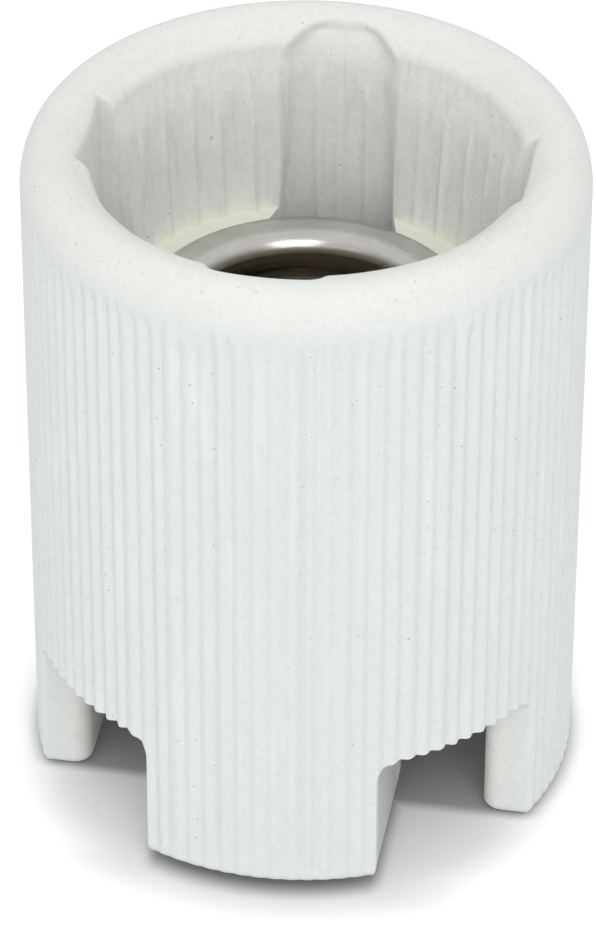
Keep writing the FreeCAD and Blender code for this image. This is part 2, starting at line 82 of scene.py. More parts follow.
# %% Mesh from a grid
def mesh_from_grid(name, rings, closed_rows=False, poles=None):
    """rings is (rows, columns, 3) in metres. Each quad joins two rows and two columns.
    With closed_rows the last row joins the first, otherwise both ends close in a pole, which
    is the middle of the end's ring unless two points are given."""
    rows, columns = rings.shape[:2]
    points = rings.reshape(-1, 3)
    lower = np.arange(rows if closed_rows else rows - 1)[:, None] * columns
    upper = (lower + columns) % (rows * columns)
    left = np.arange(columns)[None, :]
    right = (left + 1) % columns
    quads = np.stack([lower + left, lower + right, upper + right, upper + left], axis=-1)
    corners = [quads.ravel()]
    sizes = [np.full(quads.size // 4, 4)]
    if not closed_rows:
        first_pole, last_pole = rows * columns, rows * columns + 1
        ends = (rings[0].mean(axis=0), rings[-1].mean(axis=0)) if poles is None else poles
        points = np.vstack([points, ends[0], ends[1]])
        around = np.arange(columns)
        following = (around + 1) % columns
        start = np.stack([np.full(columns, first_pole), following, around], axis=-1)
        top = (rows - 1) * columns
        end = np.stack([top + around, top + following, np.full(columns, last_pole)], axis=-1)
        corners += [start.ravel(), end.ravel()]
        sizes += [np.full(columns, 3), np.full(columns, 3)]
    corners = np.concatenate(corners)
    sizes = np.concatenate(sizes)
    loop_starts = np.concatenate([[0], np.cumsum(sizes)[:-1]])
    mesh = bpy.data.meshes.new(name)
    mesh.vertices.add(len(points))
    mesh.vertices.foreach_set("co", points.astype(np.float32).ravel())
    mesh.loops.add(len(corners))
    mesh.loops.foreach_set("vertex_index", corners.astype(np.int32))
    mesh.polygons.add(len(sizes))
    mesh.polygons.foreach_set("loop_start", loop_starts.astype(np.int32))
    mesh.update(calc_edges=True)
    mesh.validate()
    return mesh


def place(name, mesh, smooth_below=35.0):
    """An object at the origin. Edges that turn less than the angle are shaded smooth."""
    mesh.polygons.foreach_set("use_smooth", np.ones(len(mesh.polygons), bool))
    mesh.set_sharp_from_angle(angle=radians(smooth_below))
    thing = bpy.data.objects.new(name, mesh)
    bpy.context.scene.collection.objects.link(thing)
    return thing


print("grid helper ready")

# %% [markdown]
# ## Sizes of the porcelain
# The porcelain repeats the CAD solid's sizes, so that the new skin covers it exactly. They are
# written in millimetres, here and where each is first needed, and turned into metres once, when
# a mesh is made. The body stands on its side feet, and its middle block ends a step higher.

# %% Sizes in millimetres
BODY_RADIUS = 14.0
BODY_HEIGHT = 36.4
BLOCK_STEP = 0.65
RIBS = 102
STEPS_PER_RIB = 10

columns = RIBS * STEPS_PER_RIB
theta = np.arange(columns) * 2 * pi / columns
print("columns round the body:", columns)

# %% [markdown]
# ## The outside: ribs pressed into the clay
# The ribs come from the die that the damp clay is pressed in. They run the whole height and
# fade out a little below the rim, each at a slightly different level, because the clay tears
# a bit as it leaves the die. A texture could paint them, but they also show in the outline of
# the windows, so they are real shape here. Ten columns a rib are enough for a round crest.

# %% Rib shape
RIB_DEPTH = 0.21
RIB_DEPTH_SPREAD = 0.22
RIB_CREST_POWER = 0.75
RIB_FADE_LEVEL = 34.15
RIB_FADE_SPREAD = 0.3
RIB_FADE = (-1.6, 0.1)
SOLE_FADE = (-0.4, 1.4)
SOLE_ROUND = 0.5
BLOCK_SECTOR = 0.7


def soft_step(low, high, value):
    """0 before low, 1 after high, and a smooth S between them: t * t * (3 - 2 * t)."""
    t = np.clip((value - low) / (high - low), 0.0, 1.0)
    return t * t * (3.0 - 2.0 * t)


def round_off(radius, depth):
    """How far a rounded edge stands back at a depth below its tangent: a quarter circle."""
    rest = np.clip(radius - depth, 0.0, radius)
    return radius - np.sqrt(radius ** 2 - rest ** 2)


chance = np.random.default_rng(7)
rib_number = np.arange(columns) // STEPS_PER_RIB
across_rib = (np.arange(columns) % STEPS_PER_RIB) / STEPS_PER_RIB * 2.0 - 1.0
deeper = chance.standard_normal(RIBS).clip(-2, 1.2)
higher = chance.standard_normal(RIBS).clip(-2, 1)
rib_depth = RIB_DEPTH * (1.0 + RIB_DEPTH_SPREAD * deeper)[rib_number]
rib_fade = (RIB_FADE_LEVEL + RIB_FADE_SPREAD * higher)[rib_number]
rib_crest = (0.5 + 0.5 * np.cos(pi * across_rib)) ** RIB_CREST_POWER
sole = np.where(np.abs(np.sin(theta)) > BLOCK_SECTOR, BLOCK_STEP, 0.0)


def outer_radius(z, base):
    """Radius of every column at one level: the base less a valley that deepens below the fade
    level. A crest stays at the base, and the depth of a valley varies a little from rib to rib.
    Towards a sole the valleys fade out as well, and the edge is rounded off."""
    strength = (1.0 - soft_step(*RIB_FADE, z - rib_fade)) * soft_step(*SOLE_FADE, z - sole)
    return base - rib_depth * strength * (1.0 - rib_crest) - round_off(SOLE_ROUND, z - sole)


print("ribs:", RIBS, "deepest valley, mm:", round(float(rib_depth.max()), 3))

# %% [markdown]
# ## Columns that crowd together at the flanks
# Seen from above, the cup is a circle with four flat-faced recesses, one in the middle of
# each quadrant, which make room for the fingers that turn the lamp's collar. Their flanks are
# steep, so even columns would give them a saw edge. Inside the rim the columns slide towards
# the flanks: where they shall be dense, the travel from one angle to the next counts for more.

# %% Crowded columns
FLANK_MIDDLE = 16.2
FLANK_REACH = 2.2
CROWDING = 3.0

quadrant = np.floor(theta / (pi / 2) + 0.5)
quadrant_number = quadrant.astype(int) % 4
even = np.degrees(theta - quadrant * pi / 2)
fine = np.linspace(-45.0, 45.0, 3601)
density = 1.0 + CROWDING * np.exp(-((np.abs(fine) - FLANK_MIDDLE) / FLANK_REACH) ** 2)
travel = np.concatenate([[0.0], np.cumsum((density[1:] + density[:-1]) / 2)])
crowded = np.interp((even + 45.0) / 90.0 * travel[-1], travel, fine)
near_flank = (np.abs(crowded) > 14) & (np.abs(crowded) < 18)
print("columns from 14 to 18 degrees:", int(near_flank.sum() / 8))

# %% [markdown]
# ## The four upright recesses
# In polar form a flat face at distance d is d / cos(angle), and a recess's depth is that less
# the cup's radius. The depth fades across the flanks, so the corners come out rounded the way
# glaze rounds them. A recess ends under the rim in a low arch, where its face leans outwards.
# No two recesses are quite alike, since each punch has worn in its own way.

# %% Recess shape
RECESS_FACE = 10.85
CORNER_SOFTNESS = 0.25
SPREAD_LEVEL = 33.0
FOOT_LIP = 0.3
LIP_CHANGE = (27.0, 34.5)

# Each list has one value a recess: right, far, left and near.
# The face starts to lean at the bend level, along a circle of the lean radius.
bend_level = np.array([34.6, 33.2, 34.6, 32.5])[quadrant_number]
lean_radius = np.array([6.0, 4.5, 6.0, 5.25])[quadrant_number]
# Half the width at the spread level, and how much it grows with each millimetre below it.
half_width = np.array([2.95, 2.6, 2.95, 2.8])[quadrant_number]
spread = np.array([0.03, 0.05, 0.03, 0.03])[quadrant_number]
# The arch: the radius of its corners and the level of its top.
arch_corner = np.array([0.2, 2.1, 0.2, 0.8])[quadrant_number]
arch_top = np.array([36.3, 36.15, 36.3, 36.6])[quadrant_number]
# Half the width of the rounded lip, and the level from which the recess fades to the crest.
lip_width = np.array([0.14, 0.80, 0.14, 0.50])[quadrant_number]
lip_fade = np.array([36.2, 35.45, 36.2, 36.25])[quadrant_number]


def smooth_max(a, b, softness):
    """The larger of two arrays, rounded where they are within the softness of each other."""
    gap = np.clip(0.5 + 0.5 * (a - b) / softness, 0.0, 1.0)
    return b + (a - b) * gap + softness * gap * (1.0 - gap)


def recess_depth(z, base, angle):
    """How far a recess stands back from the cup's wall at one level. Its face is flat and leans
    outwards near the top, and across its flanks the depth fades along an S. The flanks draw in
    towards the top, which makes the arch."""
    rise = np.maximum(z - bend_level, 0.0)
    lean = lean_radius - np.sqrt(lean_radius ** 2 - rise ** 2)
    depth = smooth_max(0.0, (RECESS_FACE + lean) / np.cos(angle) - base, CORNER_SOFTNESS)
    half = half_width + spread * (SPREAD_LEVEL - z) - round_off(arch_corner, arch_top - z)
    lip = np.minimum(lip_width, FOOT_LIP + (lip_width - FOOT_LIP) * soft_step(*LIP_CHANGE, z))
    across = (base + depth / 2) * np.abs(np.sin(angle))
    upright = soft_step(half + lip, half - lip, across)
    return depth * upright * (1.0 - soft_step(lip_fade, BODY_HEIGHT, z))


print("recess faces from the axis, mm:", RECESS_FACE)

# %% [markdown]
# ## Faint ribs on the cup's wall
# The punch that forms the cup leaves a few narrow upright ribs, three in each recess and five
# between two recesses. Each is a bump in the angle, exp(-(angle / width) ** 2), with a strength,
# a place and an upper end of its own.

# %% Wall ribs
RECESS_RIB_GAP = 6.4
WALL_RIB_GAP = 9.75
WALL_RIB_WIDTH = 1.15
WALL_RIB_HEIGHT = 0.20
WALL_RIB_FADE = 1.2
WALL_FADE = 1.0

rib_places = [("recess", RECESS_RIB_GAP * step) for step in (-1, 0, 1)]
rib_places += [("between", WALL_RIB_GAP * step) for step in (-2, -1, 0, 1, 2)]
rib_strength = chance.uniform(0.45, 1.25, (len(rib_places), 4))
rib_top = chance.uniform(32.8, 34.0, (len(rib_places), 4))
rib_shift = 0.5 * chance.standard_normal((len(rib_places), 4)).clip(-1.5, 1.5)


def wall_rib_height(z, angle):
    """Height of the ribs over the wall at one level: the sum of their bumps, each times its
    strength and faded out at its own level below the rim."""
    height = np.zeros(len(angle))
    gap_number = (quadrant_number + 3 * (angle < 0)) % 4
    from_gap = angle % (pi / 2) - pi / 4
    for rib, (where, centre) in enumerate(rib_places):
        number = quadrant_number if where == "recess" else gap_number
        turn = np.degrees(angle if where == "recess" else from_gap)
        aside = turn - centre - rib_shift[rib][number]
        top = rib_top[rib][number]
        bump = rib_strength[rib][number] * np.exp(-(aside / WALL_RIB_WIDTH) ** 2)
        height += bump * (1.0 - soft_step(top - WALL_RIB_FADE, top, z))
    return WALL_RIB_HEIGHT * height


def inner_radius(z, base, angle):
    """Radius of the cup at one level: the base, a slight waver that ends at the crest, and the
    recess's depth, less the wall ribs."""
    turn = angle + quadrant * pi / 2
    waver = 0.04 * np.sin(3 * turn + 1.0) + 0.03 * np.sin(8 * turn + 2.0) + 0.02 * np.sin(19 * turn)
    level = base + waver * soft_step(BODY_HEIGHT, BODY_HEIGHT - WALL_FADE, z)
    return level + recess_depth(z, level, angle) - wall_rib_height(z, angle)


print("wall ribs:", 4 * len(rib_places))

# %% [markdown]
# ## The profile of the rim and the cup
# A turned body is a profile carried round an axis. Outside, the rim is a quarter of an ellipse.
# Inside its crest an arc turns down, a short straight slope follows, and a smaller arc leads to
# the wall, which narrows a little down to the ledge.

# %% Rim and cup profile
RIM_CREST = 12.6
RIM_OUTER_DROP = 2.4
RIM_INNER_RADIUS = 1.81
RIM_INNER_TURN = radians(40.0)
RIM_INNER_SLOPE = 0.45
RIM_LOWER_RADIUS = 1.1
RIM_LOWER_TURN = radians(84)
WALL_TOP = 33.05
CUP_MOUTH = 10.2
CUP_FOOT = 9.65
LEDGE = 26.05
WALL_LEVELS = [32.6, 32.2, 31.6, 30.5, 29.0, 27.5, 26.6, 26.2, LEDGE]


def cup_profile():
    """Radius and level of each row, from just inside the crest down to the ledge."""
    rows = []
    for turn in np.linspace(0.03, RIM_INNER_TURN, 18):
        z = BODY_HEIGHT - RIM_INNER_RADIUS * (1 - cos(turn))
        rows.append((RIM_CREST - RIM_INNER_RADIUS * sin(turn), z))
    radius, z = rows[-1]
    for run in np.linspace(0, RIM_INNER_SLOPE, 6)[1:-1]:
        rows.append((radius - run, z - run * tan(RIM_INNER_TURN)))
    radius, z = radius - RIM_INNER_SLOPE, z - RIM_INNER_SLOPE * tan(RIM_INNER_TURN)
    for turn in np.linspace(RIM_INNER_TURN, RIM_LOWER_TURN, 14):
        rows.append((radius - RIM_LOWER_RADIUS * (sin(turn) - sin(RIM_INNER_TURN)),
                     z - RIM_LOWER_RADIUS * (cos(RIM_INNER_TURN) - cos(turn))))
    radius, z = rows[-1]
    for level in np.linspace(z, WALL_TOP, 8)[1:]:
        rows.append((CUP_MOUTH + (radius - CUP_MOUTH) * (level - WALL_TOP) / (z - WALL_TOP), level))
    for level in WALL_LEVELS:
        share = (level - LEDGE) / (WALL_TOP - LEDGE)
        rows.append((CUP_FOOT + (CUP_MOUTH - CUP_FOOT) * share, level))
    return rows


print("rows from the crest to the ledge:", len(cup_profile()))

# %% [markdown]
# ## One closed skin for the porcelain
# The rows go up the outside, over the rim, down the cup, across the ledge, down the well and in
# to the axis, and a pole at each end closes the skin. The radius of a row varies with the angle
# as the last steps say. From the crest on the columns slide to their crowded places. In a recess
# the wall goes on down past the ledge, so there the rows below the wall lie lower than between
# the recesses.

# %% Rings
CHANNEL_HALF_WIDTH = 3.0
CHANNEL_FLARE = 0.35
FLARE_RADII = (8.2, 9.7)
FLANK = 18.0

in_recess = np.abs(crowded) < FLANK


def ring(radius, z, angle=None):
    """One row of the grid in millimetres. Radius and z are numbers or one value a column, and
    the angle in degrees from the middle of the quadrant is even unless it is given."""
    turn = quadrant * pi / 2 + np.radians(even if angle is None else angle)
    radius = np.broadcast_to(radius, turn.shape)
    level = np.broadcast_to(z, turn.shape)
    return np.stack([radius * np.cos(turn), radius * np.sin(turn), level], axis=-1)


def beside_flank(radius):
    """Column angles below the wall. The column at the flank stands at half width w from the
    recess's middle plane: at radius r that is the angle arcsin(w / r). The others keep step."""
    half = CHANNEL_HALF_WIDTH + CHANNEL_FLARE * (1.0 - soft_step(*FLARE_RADII, radius))
    flank = np.degrees(np.arcsin(half / radius))
    inside = crowded * flank / FLANK
    beyond = np.sign(crowded) * (45.0 - (45.0 - np.abs(crowded)) * (45.0 - flank) / (45.0 - FLANK))
    return np.where(in_recess, inside, beyond)


print("columns in the recesses:", int(in_recess.sum()))

# %% [markdown]
# ## The rows in their order
# The lists hold the levels and the shares of the rows that no formula gives: close together
# where the soles are rounded and where the ribs end, and far apart on the plain side.

# %% Porcelain blank
WELL = 7.9
WEB_TOP = 12.2
CHANNEL_FOOT = 20.85
CROWDING_ROWS = 10
SOLE_LEVELS = [0.0, 0.04, 0.1, 0.2, 0.35, 0.5, 0.65, 0.69, 0.75, 0.85, 1.0, 1.15, 1.5, 2.0, 2.6]
SIDE_LEVELS = [4.0, 8.0, 16.0, 24.0, 31.0, 31.8, 32.3, 32.8, 33.2, 33.6]
# Shares of the way from the wall to the well between and in the recesses, and of the drop.
LEDGE_ROWS = [(0.03, 0.0, 0.4), (0.3, 0.0, 1.0), (0.65, 0.5, 1.0), (1.0, 1.0, 1.0)]
# Levels down the well between and in the recesses.
WELL_ROWS = [(22.0, 19.5), (17.0, 16.5), (WEB_TOP, WEB_TOP)]

rings = [ring(7.0, 0.0), ring(13.0, 0.0)]
for z in SOLE_LEVELS + SIDE_LEVELS:
    rings.append(ring(outer_radius(z, BODY_RADIUS), z))
for turn in np.linspace(0, pi / 2, 15):
    z = BODY_HEIGHT - RIM_OUTER_DROP * (1 - sin(turn))
    base = BODY_RADIUS - (BODY_RADIUS - RIM_CREST) * (1 - cos(turn))
    rings.append(ring(outer_radius(z, base), z))
for step, (base, z) in enumerate(cup_profile()):
    angle = even + (crowded - even) * min(1.0, (step + 1) / CROWDING_ROWS)
    rings.append(ring(inner_radius(z, base, np.radians(angle)), z, angle))
wall = inner_radius(LEDGE, CUP_FOOT, np.radians(crowded))
for ledge_share, floor_share, drop in LEDGE_ROWS:
    share = np.where(in_recess, floor_share, ledge_share)
    radius = wall * (1 - share) + WELL * share
    level = np.where(in_recess, LEDGE + (CHANNEL_FOOT - LEDGE) * drop, LEDGE)
    rings.append(ring(radius, level, beside_flank(radius)))
well = np.full(columns, WELL)
for ledge_level, floor_level in WELL_ROWS:
    rings.append(ring(well, np.where(in_recess, floor_level, ledge_level), beside_flank(well)))
rings += [ring(5.2, WEB_TOP), ring(0.4, WEB_TOP)]
blank = place("porcelain_body_skin", mesh_from_grid("porcelain_body_skin", np.array(rings) * mm))
print("rows:", len(rings), "faces:", len(blank.data.polygons))

# %% [markdown]
# ## Windows, chambers and holes
# The underside isn't round: wire windows, two terminal chambers and a set of holes are cut from
# it. Cutting bodies and an exact Boolean do this, because the cut then goes through every rib
# at its own depth, which gives the ragged edge over a window. Each cutter is a stack of
# outlines, and near the soles and the ceilings the outline moves by the height of a quarter
# circle, so that the cut leaves a rounded edge behind. One more cutter a window rounds the
# upright edge of the side foot, and its radius runs out towards the ceiling.

# %% Cutter helpers
cutters = bpy.data.collections.new("cutting_bodies")
bpy.context.scene.collection.children.link(cutters)


def stack(name, outlines, levels, centre):
    """A closed body from outlines, each (points, 2), at the given levels, in millimetres. The
    outlines run counter-clockwise and can all be seen whole from the centre."""
    walls = [np.column_stack([plan, np.full(len(plan), z)]) for plan, z in zip(outlines, levels)]
    walls = np.array(walls) * mm
    poles = [np.array([centre[0], centre[1], z]) * mm for z in (levels[0], levels[-1])]
    body = bpy.data.objects.new(name, mesh_from_grid(name, walls, poles=poles))
    cutters.objects.link(body)
    return body


def arc(x, y, radius, start, end, steps=8):
    """Points on an arc, angles in degrees."""
    turn = np.radians(np.linspace(start, end, steps))
    return np.column_stack([x + radius * np.cos(turn), y + radius * np.sin(turn)])


def disc_outline(x, y, radius, steps=48):
    """Points round a whole circle, with no point twice."""
    return arc(x, y, radius, 0, 360 - 360 / steps, steps)


def box_outline(x, y):
    """A rectangle round the axis, from its half width and half depth."""
    return np.array([(-x, -y), (x, -y), (x, y), (-x, y)])


def facing(outline, side):
    """The outline on the +X side, or its mirror image on the other, still counter-clockwise."""
    return outline if side > 0 else (outline * [-1, 1])[::-1]


def at_corner(outline, side, end):
    """An outline drawn for the corner at +X and +Y, moved to one of the four corners."""
    outline = outline * [1, end]
    return facing(outline if end > 0 else outline[::-1], side)


print("cutter helpers ready")

# %% [markdown]
# ## Plans of the cuts
# The plans are drawn once, for the +X side or for the corner at +X and +Y, and turned over for
# the others. A sole's rounded edge is a growth of the plan near the sole, and the block's sole
# lies a step higher than the side foot's, so the two sides of a plan grow at different levels.

# %% Plans
HALF_FOOT = 5.85
SIDE_FOOT_FACE = 10.3
SOLE_EDGE = 0.55
FOOT_EDGE = 0.8
LEAST_FOOT_EDGE = 0.03
FOOT_EDGE_FADE = 5.9
EDGE_MARGIN = 0.3
WINDOW_TOP = 8.0
WINDOW_ROUND = 1.1
CHAMBER_TOP = 8.8
CHAMBER_HALF_WIDTH = 3.6
CHAMBER_CORNER = 0.9
POCKET_RADIUS = 10.7
BARRIER_FACE = 0.8
BARRIER_FOOT = 2.15
BELOW = -1.0
BEYOND = 17.0
# Name, radius, place on the right or the far side, lowest and highest level.
HOLES = [("tip_hole", 1.75, 7.1, 0, CHAMBER_TOP - 0.5, 11.1),
         ("fixing_hole", 1.2, 3.7, 0, CHAMBER_TOP - 0.5, 14.0),
         ("bracket_hole", 1.45, 0, 9.4, BELOW, 6.15)]


def chamber_outline(foot_grow, block_grow):
    """Plan of one chamber: a side foot outside, a rounded block corner each way, and the
    barrier inside. The upper half mirrors the lower one."""
    face = SIDE_FOOT_FACE + foot_grow
    block = HALF_FOOT - block_grow
    end = CHAMBER_HALF_WIDTH + block_grow
    near = np.degrees(np.arcsin(HALF_FOOT / POCKET_RADIUS))
    far = np.degrees(np.arccos(block / POCKET_RADIUS))
    corner = arc(block - CHAMBER_CORNER, -end - CHAMBER_CORNER, CHAMBER_CORNER, 90, 0)
    pocket = arc(0, 0, POCKET_RADIUS, -far, -near)
    lower = np.vstack([[(BARRIER_FACE, -end)], corner, pocket, [(face, -HALF_FOOT)]])
    return np.vstack([lower, (lower * [1, -1])[::-1]])


def edge_outline(radius, grow):
    """Plan of the cut that rounds a side foot's upright edge: a square less a quarter disc."""
    x, y = SIDE_FOOT_FACE + grow, HALF_FOOT - grow
    return np.vstack([[(x - EDGE_MARGIN, y + EDGE_MARGIN), (x - EDGE_MARGIN, y - radius)],
                      arc(x + radius, y - radius, radius, 180, 90), [(x + radius, y + EDGE_MARGIN)]])


print("chamber outline points:", len(chamber_outline(0.0, 0.0)))

# %% [markdown]
# ## The cutting bodies
# Each side of the axis gets a chamber and its holes, and each corner gets a window and the cut
# that rounds the foot's edge. Two flat slabs then lift the block's sole and the barrier's foot.

# %% Cutting bodies
wall_end = WINDOW_TOP - WINDOW_ROUND
sole_rows = np.concatenate([[BELOW], np.linspace(0, SOLE_EDGE, 6),
                            np.linspace(BLOCK_STEP, BLOCK_STEP + SOLE_EDGE, 6)])
for side in (-1, 1):
    levels = np.append(sole_rows, CHAMBER_TOP)
    outlines = []
    for z in levels:
        plan = chamber_outline(round_off(SOLE_EDGE, z), round_off(SOLE_EDGE, z - BLOCK_STEP))
        outlines.append(facing(plan, side))
    stack("chamber", outlines, levels, (side * 7.0, 0))
    for name, radius, x, y, bottom, top in HOLES:
        centre = (side * x, side * y)
        stack(name, [disc_outline(*centre, radius)] * 2, (bottom, top), centre)
    for end in (-1, 1):
        levels = np.concatenate([sole_rows, np.linspace(wall_end, WINDOW_TOP, 7)])
        outlines = []
        for z in levels:
            ceiling = round_off(WINDOW_ROUND, WINDOW_TOP - z)
            x = HALF_FOOT + ceiling - round_off(SOLE_EDGE, z - BLOCK_STEP)
            y = HALF_FOOT + ceiling - round_off(SOLE_EDGE, z)
            plan = np.array([(x, y), (BEYOND, y), (BEYOND, BEYOND), (x, BEYOND)])
            outlines.append(at_corner(plan, side, end))
        stack("window", outlines, levels, (side * 12, end * 12))
        levels = np.concatenate([sole_rows, np.linspace(FOOT_EDGE_FADE, wall_end, 5)])
        outlines = []
        for z in levels:
            radius = LEAST_FOOT_EDGE + FOOT_EDGE - round_off(FOOT_EDGE, wall_end - z)
            plan = edge_outline(radius, round_off(SOLE_EDGE, z))
            outlines.append(at_corner(plan, side, end))
        stack("foot_edge", outlines, levels, (side * SIDE_FOOT_FACE, end * HALF_FOOT))
stack("block_step", [box_outline(6.4, 16.0)] * 2, (BELOW, BLOCK_STEP), (0, 0))
stack("under_barrier", [box_outline(1.0, CHAMBER_HALF_WIDTH)] * 2, (BELOW, BARRIER_FOOT), (0, 0))

# %% [markdown]
# ## The cut, and the boss under the centre contact
# The Boolean is applied at once, so that the finished piece is plain mesh. The cutters then go.
# The boss is the half disc that lifts the contact's leaf clear of the shell's floor.

# %% Cut the porcelain
BOSS_RADIUS = 5.0
BOSS_HEIGHT = 0.8
BOSS_SIDE = [(0.7, -4.9), (0.7, 4.9)]

boss_outline = np.vstack([arc(0, 0, BOSS_RADIUS, 82, 278, 40), BOSS_SIDE])
boss = stack("boss", [boss_outline] * 2, (WEB_TOP - 0.5, WEB_TOP + BOSS_HEIGHT), (-2.0, 0))
cutters.objects.unlink(boss)
bpy.context.scene.collection.objects.link(boss)
for operation, operand in (("UNION", boss), ("DIFFERENCE", cutters)):
    change = blank.modifiers.new(operation.lower(), "BOOLEAN")
    change.operation = operation
    change.solver = "EXACT"
    if operand is boss:
        change.object = boss
    else:
        change.operand_type = "COLLECTION"
        change.collection = cutters
evaluated = blank.evaluated_get(bpy.context.evaluated_depsgraph_get())
finished = bpy.data.meshes.new_from_object(evaluated)
blank.modifiers.clear()
porcelain_body = place("ribbed_porcelain", finished, 40.0)
for spare in [blank, boss] + list(cutters.objects):
    bpy.data.objects.remove(spare)
bpy.data.collections.remove(cutters)
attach(porcelain_body, "holder")
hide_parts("porcelain_body")
print("porcelain triangles:", sum(len(face.vertices) - 2 for face in porcelain_body.data.polygons))

# %% [markdown]
# ## The thread of the screw shell
# The shell is rolled from one disc of sheet. Its thread has no cut edge: a level circle is
# carried round the axis while it rises, so that its centre follows a helix. The swing of the
# centre fades out at both ends, where the shell is a plain tube.

# %% Thread surface
PITCH = 2.822
MINOR = 6.15
SWING = 0.425
SWING_FADE = 1.4
SHEET = 0.3
THREAD_TOP = 24.9
THREAD_FOOT = 13.2
THREAD_ROWS = 92
SHELL_COLUMNS = 240

shell_theta = np.arange(SHELL_COLUMNS) * 2 * pi / SHELL_COLUMNS


def plain_ring(radius, z, centre_x=0.0, centre_y=0.0):
    """A level circle: the centre plus radius * (cos angle, sin angle)."""
    return np.stack([centre_x + radius * np.cos(shell_theta),
                     centre_y + radius * np.sin(shell_theta),
                     np.full(SHELL_COLUMNS, z)], axis=-1)


def thread_ring(z, grow):
    """A circle whose centre is swing * (cos turn, sin turn), turn = 2 pi z / pitch, and whose
    radius is the minor radius + swing + grow. The swing fades to nothing at both ends."""
    swing = SWING * soft_step(0, SWING_FADE, min(THREAD_TOP - z, z - THREAD_FOOT))
    turn = 2 * pi * z / PITCH
    return plain_ring(MINOR + swing + grow, z, swing * cos(turn), swing * sin(turn))


print("turns of the thread:", round((THREAD_TOP - THREAD_FOOT) / PITCH, 2))

# %% [markdown]
# ## The shell, flange and floor
# One profile goes down inside and comes back outside, and the two meet at the flange and at the
# opening in the floor. A roll leads from the flange into the tube, and a bend leads from the
# tube to the floor. The opening is a circle that a straight side cuts off at the right, where
# the floor takes the fixing screw.

# %% Screw shell
FLANGE_RADIUS = 8.25
FLANGE_EDGE = 0.05
ROLL = 1.25
FLOOR_BEND = 0.7
OPENING = 5.3
OPENING_SIDE = 1.2

flange_top = LEDGE + SHEET
roll_z, roll_r = flange_top - ROLL, MINOR + ROLL
bend_r = MINOR - FLOOR_BEND
opening = np.minimum(OPENING, OPENING_SIDE / np.maximum(np.cos(shell_theta), 0.05))
levels = np.linspace(THREAD_TOP, THREAD_FOOT, THREAD_ROWS)
quarter = np.linspace(0, pi / 2, 16)
inside = [plain_ring(FLANGE_RADIUS, flange_top - FLANGE_EDGE),
          plain_ring(FLANGE_RADIUS - FLANGE_EDGE, flange_top), plain_ring(7.8, flange_top)]
inside += [plain_ring(roll_r - ROLL * sin(t), roll_z + ROLL * cos(t)) for t in quarter]
inside += [thread_ring(z, 0.0) for z in levels]
inside += [plain_ring(bend_r + FLOOR_BEND * cos(t), THREAD_FOOT - FLOOR_BEND * sin(t))
           for t in np.linspace(0.2, pi / 2, 7)]
inside += [plain_ring(opening, THREAD_FOOT - FLOOR_BEND)]
outer_bend, outer_roll = FLOOR_BEND + SHEET, ROLL - SHEET
outside = [plain_ring(opening, WEB_TOP)]
outside += [plain_ring(bend_r + outer_bend * sin(t), THREAD_FOOT - outer_bend * cos(t))
            for t in np.linspace(0, pi / 2 - 0.2, 7)]
outside += [thread_ring(z, SHEET) for z in levels[::-1]]
outside += [plain_ring(roll_r - outer_roll * cos(t), roll_z + outer_roll * sin(t)) for t in quarter]
outside += [plain_ring(FLANGE_RADIUS - FLANGE_EDGE, LEDGE),
            plain_ring(FLANGE_RADIUS, LEDGE + FLANGE_EDGE)]
shell_mesh = mesh_from_grid("rolled_shell", np.array(inside + outside) * mm, closed_rows=True)
screw_shell = place("rolled_shell", shell_mesh, 50.0)
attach(screw_shell, "holder")
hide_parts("screw_shell")
print("shell rows:", len(inside) + len(outside), "pitch, mm:", PITCH)

# %% [markdown]
# ## The leaf under the centre contact
# The contact sits on a sprung strip of bronze, and the lamp's tip presses it down. A copy of the
# CAD leaf takes the place of the CAD piece. The copy's triangles are loose at first, so their
# corners are merged before it is shaded.

# %% Sprung leaf
MERGE_DISTANCE = 0.0005

leaf_mesh = frame["nodes"]["contact_leaf"].data.copy()
workbench = bmesh.new()
workbench.from_mesh(leaf_mesh)
bmesh.ops.remove_doubles(workbench, verts=workbench.verts, dist=MERGE_DISTANCE * mm)
workbench.to_mesh(leaf_mesh)
workbench.free()
sprung_leaf = place("sprung_leaf", leaf_mesh)
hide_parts("contact_leaf")
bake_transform(sprung_leaf)
print("leaf corners after the merge:", len(leaf_mesh.vertices))

# %% [markdown]
# ## Writing a material as arithmetic
# A material is a graph of nodes, and most of its maths is adding and multiplying. A small class
# wraps one output of a node, and its operators add the Math nodes, so that a mask reads as the
# formula that it is. Every other node comes from one method of the finish being made.

# %% Socket values
class Value:
    """One output of a node. Sums, differences, products, quotients and powers add Math nodes."""

    def __init__(self, finish, output):
        self.finish = finish
        self.output = output

    def other(self, name):
        """Another output of the same node."""
        return Value(self.finish, self.output.node.outputs[name])

    def maths(self, operation, first, second):
        return self.finish.node("ShaderNodeMath", {"operation": operation}, {0: first, 1: second})

    def smaller(self, other):
        """The smaller of the two values."""
        return self.maths("MINIMUM", self, other)

    def __add__(self, other):
        return self.maths("ADD", self, other)

    def __radd__(self, other):
        return self.maths("ADD", other, self)

    def __sub__(self, other):
        return self.maths("SUBTRACT", self, other)

    def __rsub__(self, other):
        return self.maths("SUBTRACT", other, self)

    def __mul__(self, other):
        return self.maths("MULTIPLY", self, other)

    def __rmul__(self, other):
        return self.maths("MULTIPLY", other, self)

    def __truediv__(self, other):
        return self.maths("DIVIDE", self, other)

    def __rtruediv__(self, other):
        return self.maths("DIVIDE", other, self)

    def __pow__(self, other):
        return self.maths("POWER", self, other)

    def __rpow__(self, other):
        return self.maths("POWER", other, self)


print("socket values ready")

